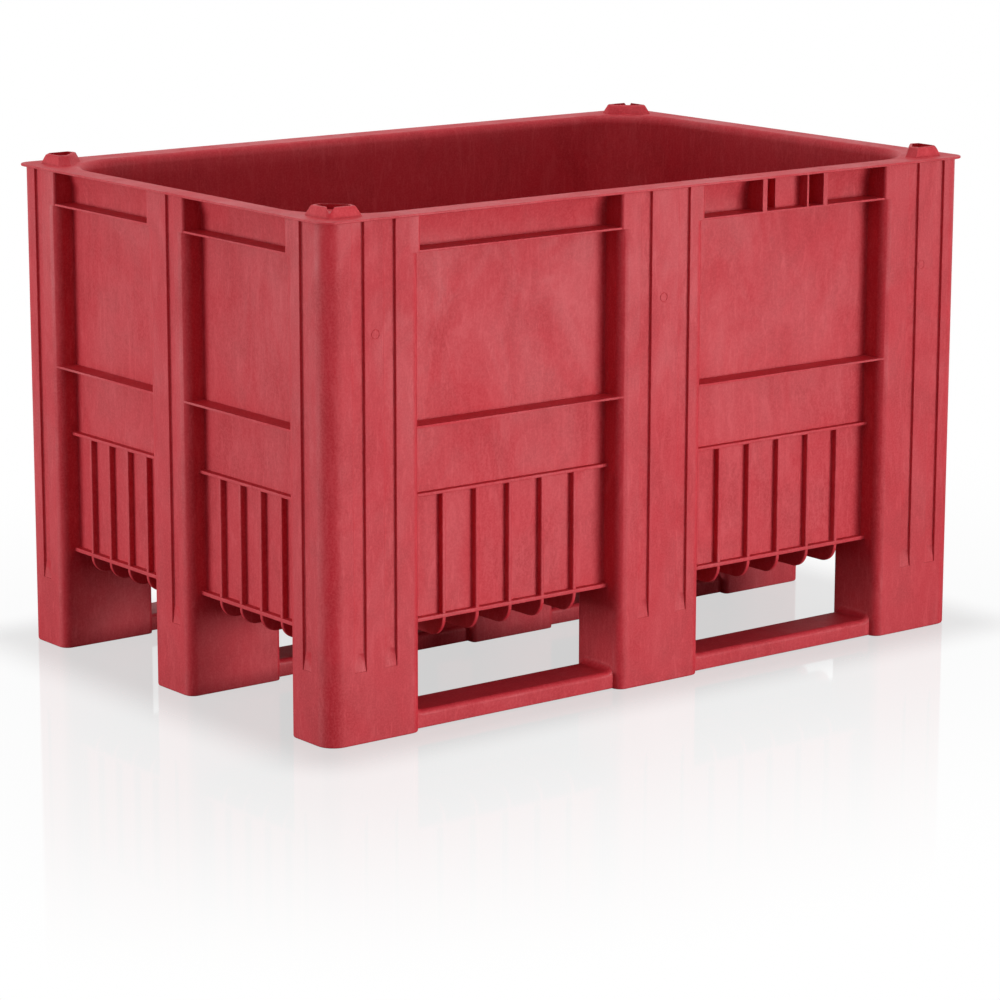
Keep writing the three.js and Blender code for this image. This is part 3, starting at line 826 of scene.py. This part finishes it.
def channel_cutters(extra, name):
    """All the channels, or with extra, the space that keeps a skin behind them."""
    s, place = sizes(), Places()
    pair = place.half_length - s.corner_pair
    spots = (
        (-pair, s.corner_pair_spacing), (0.0, s.middle_pair_spacing), (pair, s.corner_pair_spacing)
    )
    long_places = [
        middle + side * spacing / 2 + s.pair_shift for middle, spacing in spots for side in (-1, 1)
    ]
    corner = place.half_width - s.short_channel
    short_places = (-corner, s.short_channel_off, corner)
    pattern = channel_cutter(extra)
    cutters = []
    for turns in range(4):
        turn = Matrix.Rotation(turns * QUARTER, 4, "Z")
        on_short_side = turns % 2
        reach = place.half_length if on_short_side else place.half_width
        for at in short_places if on_short_side else long_places:
            cutters.append(copied(pattern, turn @ Matrix.Translation((at, -reach, 0))))
    bpy.data.objects.remove(pattern)
    return together(cutters, name)


def post_hollows():
    """The hollows in the posts and feet, clear of the tub wall and of the channels."""
    s, place = sizes(), Places()

    def hollow_top(is_middle):
        return s.underside if is_middle else place.top - s.post_cap

    hollows = together(all_columns(place, s.wall, s.foot_plate, hollow_top), "post_hollows")
    round_columns(hollows, place, s.wall, s.post_edge)
    combine(hollows, tub_space(s.wall, s.underside, 0.0), "DIFFERENCE")
    return combine(hollows, channel_cutters(s.wall, "behind_channels"), "DIFFERENCE")


def vent_holes():
    """A small hole in the bottom of each foot."""
    s, place = sizes(), Places()
    holes = []
    for x0, x1 in place.columns_x:
        for y0, y1 in place.columns_y:
            bpy.ops.mesh.primitive_cylinder_add(
                vertices=VENT_SIDES, radius=s.vent / 2, depth=s.foot_plate + 2 * OVERCUT,
                location=((x0 + x1) / 2, (y0 + y1) / 2, s.foot_plate / 2),
            )
            holes.append(settle(bpy.context.active_object))
    return together(holes, "vent_holes")


def gate_rings():
    """Ring grooves on the post faces of the long sides."""
    s, place = sizes(), Places()
    corner = place.half_length - s.gate_from_corner
    rings = []
    for x in (-corner, 0.0, corner):
        for y in (-place.half_width, place.half_width):
            bpy.ops.mesh.primitive_torus_add(
                major_segments=RING_STEPS[0], minor_segments=RING_STEPS[1],
                major_radius=s.gate_ring, minor_radius=s.gate_groove,
                location=(x, y, s.gate_height), rotation=(QUARTER, 0, 0),
            )
            rings.append(settle(bpy.context.active_object))
    return together(rings, "gate_rings")


def sink_marks():
    """Small dents in the rim's top, over the cheeks of the card holders."""
    s, place = sizes(), Places()
    end = s.holder_start + s.holder
    marks = []
    for x in (s.holder_start + s.holder_cheek / 2, end - s.holder_cheek / 2):
        for side in (-1, 1):
            bpy.ops.mesh.primitive_uv_sphere_add(
                segments=DENT_STEPS[0], ring_count=DENT_STEPS[1], radius=1.0,
                location=(-side * x, side * (place.half_width - s.sink), place.top),
                scale=(s.holder_cheek / 2, s.sink / 2, s.sink_depth),
            )
            marks.append(settle(bpy.context.active_object))
    return together(marks, "sink_marks")


def plastic(finish):
    """Moulded plastic: clouds, flow streaks, a painted highlight along the edges, uneven gloss and
    fine grain.
    """
    material = bpy.data.materials.new("moulded_plastic")
    material.use_nodes = True
    tree = material.node_tree
    nodes, links = tree.nodes, tree.links
    shader = nodes["Principled BSDF"]

    def node(kind, **values):
        made = nodes.new(kind)
        for key, value in values.items():
            setattr(made, key, value)
        return made

    def pattern(noise):
        """Noise on object coordinates, stretched and turned."""
        mapping = node("ShaderNodeMapping")
        mapping.inputs["Scale"].default_value = noise.stretch
        mapping.inputs["Rotation"].default_value = noise.turn
        links.new(place.outputs["Object"], mapping.inputs["Vector"])
        made = node("ShaderNodeTexNoise")
        for name, value in (
            ("Scale", noise.scale), ("Detail", noise.detail),
            ("Roughness", noise.rough), ("Distortion", noise.warp),
        ):
            made.inputs[name].default_value = value
        links.new(mapping.outputs["Vector"], made.inputs["Vector"])
        return made.outputs["Fac"]

    def ramp(value, low, high, least, most):
        """A value spread between two ends."""
        made = node("ShaderNodeMapRange", interpolation_type="SMOOTHSTEP")
        for name, number in (
            ("From Min", low), ("From Max", high), ("To Min", least), ("To Max", most)
        ):
            made.inputs[name].default_value = number
        links.new(value, made.inputs["Value"])
        return made.outputs["Result"]

    def tint(below, above, amount):
        """One colour over another by an amount."""
        made = node("ShaderNodeMix", data_type="RGBA")
        if isinstance(below, tuple):
            made.inputs["A"].default_value = below
        else:
            links.new(below, made.inputs["A"])
        made.inputs["B"].default_value = above
        links.new(amount, made.inputs["Factor"])
        return made.outputs["Result"]

    def marks(noise, amount):
        """Where a noise shows, up to an amount."""
        return ramp(pattern(noise), noise.low, noise.high, 0.0, noise.strength * amount)

    def bump(noise, strength, depth):
        made = node("ShaderNodeBump")
        made.inputs["Strength"].default_value = strength
        made.inputs["Distance"].default_value = depth
        links.new(pattern(noise), made.inputs["Height"])
        return made

    place = node("ShaderNodeTexCoord")
    # Painted highlight: edges are found where the Bevel node's rounded normal parts from the plain
    # one, and are tinted paler there.
    edge_normal = node("ShaderNodeBevel", samples=4)
    edge_normal.inputs["Radius"].default_value = finish.painted_highlight_reach
    flat_normal = node("ShaderNodeNewGeometry")
    agreement = node("ShaderNodeVectorMath", operation="DOT_PRODUCT")
    links.new(edge_normal.outputs["Normal"], agreement.inputs[0])
    links.new(flat_normal.outputs["Normal"], agreement.inputs[1])
    edges = ramp(agreement.outputs["Value"], HIGHLIGHT_FROM, HIGHLIGHT_TO, 0.0, finish.painted_highlight)
    body = tint((*finish.body, 1.0), (*finish.deep, 1.0), marks(CLOUDS, finish.clouds))
    for noise in (SWEEPS, RUNS, STROKES):
        body = tint(body, (*finish.pale, 1.0), marks(noise, finish.streaks))
    body = tint(body, (*finish.pale, 1.0), marks(SPECKLE, finish.speckle))
    # Paint the edge highlight over the body colour.
    body = tint(body, (*finish.painted_edge_highlight, 1.0), edges)
    links.new(body, shader.inputs["Base Color"])

    mean, half_spread = finish.roughness, finish.roughness_spread / 2
    gloss = ramp(
        pattern(GLOSS), GLOSS.low, GLOSS.high, mean - half_spread, mean + half_spread
    )
    links.new(gloss, shader.inputs["Roughness"])

    ripples = bump(RIPPLES, finish.ripple, finish.ripple_depth)
    grain = bump(GRAIN, finish.grain, finish.grain_depth)
    links.new(ripples.outputs["Normal"], grain.inputs["Normal"])
    links.new(grain.outputs["Normal"], shader.inputs["Normal"])
    shader.inputs["IOR"].default_value = finish.refraction
    shader.inputs["Specular IOR Level"].default_value = finish.specular
    return material


class PALLETBOX_OT_moulding(bpy.types.Operator):
    """Unite the pieces into one moulding, cut its hollows and give it its finish"""

    bl_idname = "pallet_box.moulding"
    bl_label = "Moulding"

    def execute(self, context):
        s, place = sizes(), Places()
        moulding = bpy.data.objects["posts_and_feet"]
        for name in (
            "post_tops", "wall_panels", "ledge_and_belt", "long_shelves", "short_shelves",
            "crosswise_ribs", "lengthwise_ribs", "runner_bars", "rim_plate", "holder_pane",
            "holder_stop", "holder_cheek_start", "holder_cheek_end",
        ):
            combine(moulding, bpy.data.objects[name], "UNION")
        for cutter in (
            tub_space(0.0, place.floor, s.tub_fillet), post_hollows(),
            bpy.data.objects["bar_hollows"], channel_cutters(0.0, "channels"),
            vent_holes(), gate_rings(), sink_marks(),
        ):
            combine(moulding, cutter, "DIFFERENCE")
        combine(moulding, bpy.data.objects["stacking_nubs"], "UNION")
        moulding.name = "one_piece_moulding"
        edit(moulding, "FACE", any_face)
        bpy.ops.mesh.remove_doubles(threshold=SAME_POINT)
        bpy.ops.mesh.dissolve_limited(angle_limit=FLAT_WITHIN)
        leave_edit()
        bpy.ops.object.shade_smooth_by_angle(angle=SMOOTH_BELOW)
        bpy.ops.object.modifier_add(type="WEIGHTED_NORMAL")
        weighted = moulding.modifiers[-1]
        weighted.keep_sharp = True
        weighted.weight = 100
        bpy.ops.object.modifier_apply(modifier=weighted.name)
        moulding.data.materials.clear()
        moulding.data.materials.append(plastic(context.scene.pallet_box_finish))
        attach(moulding, "root")
        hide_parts(NODE)
        return {"FINISHED"}


def add_lamp(name, power):
    """A soft rectangular lamp that shines within its spread."""
    spot, target, size, spread = LAMPS[name]
    bpy.ops.object.light_add(type="AREA", location=spot)
    lamp = bpy.context.active_object
    lamp.name = name
    lamp.rotation_euler = (Vector(target) - Vector(spot)).to_track_quat("-Z", "Y").to_euler()
    lamp.data.shape = "RECTANGLE"
    lamp.data.size, lamp.data.size_y = size
    lamp.data.spread = math.radians(spread)
    lamp.data.energy = power


def floor_material(studio):
    """White floor with a faint mirror image, keeping the box's shadow round its feet."""
    material = bpy.data.materials.new("studio_floor")
    material.use_nodes = True
    nodes, links = material.node_tree.nodes, material.node_tree.links

    def calculate(operation, first, second):
        made = nodes.new("ShaderNodeMath")
        made.operation = operation
        for socket, value in zip(made.inputs, (first, second)):
            if isinstance(value, float):
                socket.default_value = value
            else:
                links.new(value, socket)
        return made.outputs["Value"]

    def fade(reach, least, most):
        """From one share under the box to another, some way out from its footprint."""
        made = nodes.new("ShaderNodeMapRange")
        made.interpolation_type = "SMOOTHSTEP"
        made.inputs["From Max"].default_value = reach
        made.inputs["To Min"].default_value = least
        made.inputs["To Max"].default_value = most
        links.new(away, made.inputs["Value"])
        return made.outputs["Result"]

    def blend(share_of_second, first, second):
        made = nodes.new("ShaderNodeMixShader")
        links.new(share_of_second, made.inputs["Fac"])
        links.new(first, made.inputs[1])
        links.new(second, made.inputs[2])
        return made.outputs["Shader"]

    parts = nodes.new("ShaderNodeSeparateXYZ")
    links.new(nodes.new("ShaderNodeTexCoord").outputs["Object"], parts.inputs[0])
    outside = []
    for axis, half in (("X", NODE_HIGH.x), ("Y", NODE_HIGH.y)):
        beyond = calculate("SUBTRACT", calculate("ABSOLUTE", parts.outputs[axis], 0.0), half)
        beyond = calculate("MAXIMUM", beyond, 0.0)
        outside.append(calculate("MULTIPLY", beyond, beyond))
    away = calculate("SQRT", calculate("ADD", *outside), 0.0)

    seen = nodes.new("ShaderNodeLightPath")
    camera = seen.outputs["Is Camera Ray"]
    shader = nodes["Principled BSDF"]
    shader.inputs["Base Color"].default_value = (studio.floor_shade,) * 3 + (1.0,)
    shader.inputs["Roughness"].default_value = studio.floor_roughness
    shader.inputs["Specular IOR Level"].default_value = studio.floor_specular
    white = nodes.new("ShaderNodeEmission").outputs["Emission"]
    mirror = nodes.new("ShaderNodeBsdfGlossy")
    mirror.inputs["Roughness"].default_value = studio.mirror_blur
    to_camera = calculate("MULTIPLY", fade(studio.shadow_reach, studio.floor_glow, 1.0), camera)
    reflected = calculate(
        "MULTIPLY", fade(studio.reflection_reach, 0.0, 1.0), seen.outputs["Is Glossy Ray"]
    )
    glow = calculate("MAXIMUM", to_camera, reflected)
    image = calculate("MULTIPLY", fade(studio.mirror_reach, studio.floor_mirror, 0.0), camera)
    surface = blend(image, blend(glow, shader.outputs["BSDF"], white), mirror.outputs["BSDF"])
    links.new(surface, nodes["Material Output"].inputs["Surface"])
    return material


def white_world(studio):
    """Even light all round, and plain white to the camera and in reflections."""
    world = bpy.data.worlds.new("studio")
    bpy.context.scene.world = world
    world.use_nodes = True
    nodes, links = world.node_tree.nodes, world.node_tree.links
    background = nodes["Background"]
    background.inputs["Color"].default_value = (1.0, 1.0, 1.0, 1.0)
    seen = nodes.new("ShaderNodeLightPath")
    either = nodes.new("ShaderNodeMath")
    either.operation = "MAXIMUM"
    links.new(seen.outputs["Is Camera Ray"], either.inputs[0])
    links.new(seen.outputs["Is Glossy Ray"], either.inputs[1])
    strength = nodes.new("ShaderNodeMapRange")
    strength.inputs["To Min"].default_value = studio.sky
    strength.inputs["To Max"].default_value = 1.0
    links.new(either.outputs["Value"], strength.inputs["Value"])
    links.new(strength.outputs["Result"], background.inputs["Strength"])


class PALLETBOX_OT_stage(bpy.types.Operator):
    """Set up the floor, the lamps and the camera"""

    bl_idname = "pallet_box.stage"
    bl_label = "Stage"

    def execute(self, context):
        studio = context.scene.pallet_box_studio
        bpy.ops.mesh.primitive_plane_add(size=studio.floor_size)
        floor = context.active_object
        floor.name = "studio_floor"
        floor.data.materials.append(floor_material(studio))
        middle = Vector((0, 0, (NODE_HIGH.z - sizes().nub_height) / 2))
        for name in LAMPS:
            add_lamp(name, getattr(studio, name))
        white_world(studio)

        turn, rise = studio.azimuth, studio.elevation
        back = Vector((
            -math.sin(turn) * math.cos(rise), -math.cos(turn) * math.cos(rise), math.sin(rise),
        ))
        rolled = Matrix.Rotation(studio.roll, 3, back)
        right = rolled @ Vector((math.cos(turn), -math.sin(turn), 0.0))
        up = back.cross(right)
        bpy.ops.object.camera_add()
        camera = context.active_object
        camera.name = "camera"
        spot = middle + back * studio.distance + right * studio.side_step + up * studio.lift
        axes = Matrix((right, up, back)).transposed().to_4x4()
        camera.matrix_world = Matrix.Translation(spot) @ axes
        camera.data.sensor_width = SENSOR_WIDTH
        camera.data.lens = studio.lens
        camera.data.clip_end = FAR_CLIP
        context.scene.camera = camera
        context.scene.view_settings.view_transform = "Standard"
        return {"FINISHED"}


STEPS = (
    PALLETBOX_OT_columns, PALLETBOX_OT_walls, PALLETBOX_OT_ribs, PALLETBOX_OT_bars,
    PALLETBOX_OT_rim, PALLETBOX_OT_holders, PALLETBOX_OT_nubs, PALLETBOX_OT_moulding,
    PALLETBOX_OT_stage,
)


class PALLETBOX_PT_panel(bpy.types.Panel):
    """Lists the steps that make the pallet box"""

    bl_idname = "PALLETBOX_PT_panel"
    bl_label = "Pallet Box"
    bl_space_type = "VIEW_3D"
    bl_region_type = "UI"
    bl_category = "Pallet Box"

    def draw(self, context):
        column = self.layout.column()
        for step in STEPS:
            column.operator(step.bl_idname)


GROUPS = (
    ("pallet_box_sizes", MouldingSizes),
    ("pallet_box_finish", PlasticFinish),
    ("pallet_box_studio", StudioSettings),
)


def register():
    for name, group in GROUPS:
        bpy.utils.register_class(group)
        setattr(bpy.types.Scene, name, PointerProperty(type=group))
    for item in (*STEPS, PALLETBOX_PT_panel):
        bpy.utils.register_class(item)


def unregister():
    for item in reversed((*STEPS, PALLETBOX_PT_panel)):
        bpy.utils.unregister_class(item)
    for name, group in reversed(GROUPS):
        delattr(bpy.types.Scene, name)
        bpy.utils.unregister_class(group)


def main():
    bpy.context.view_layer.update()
    register()
    for step in STEPS:
        getattr(bpy.ops.pallet_box, step.bl_idname.split(".")[1])()


if __name__ == "__main__":
    main()
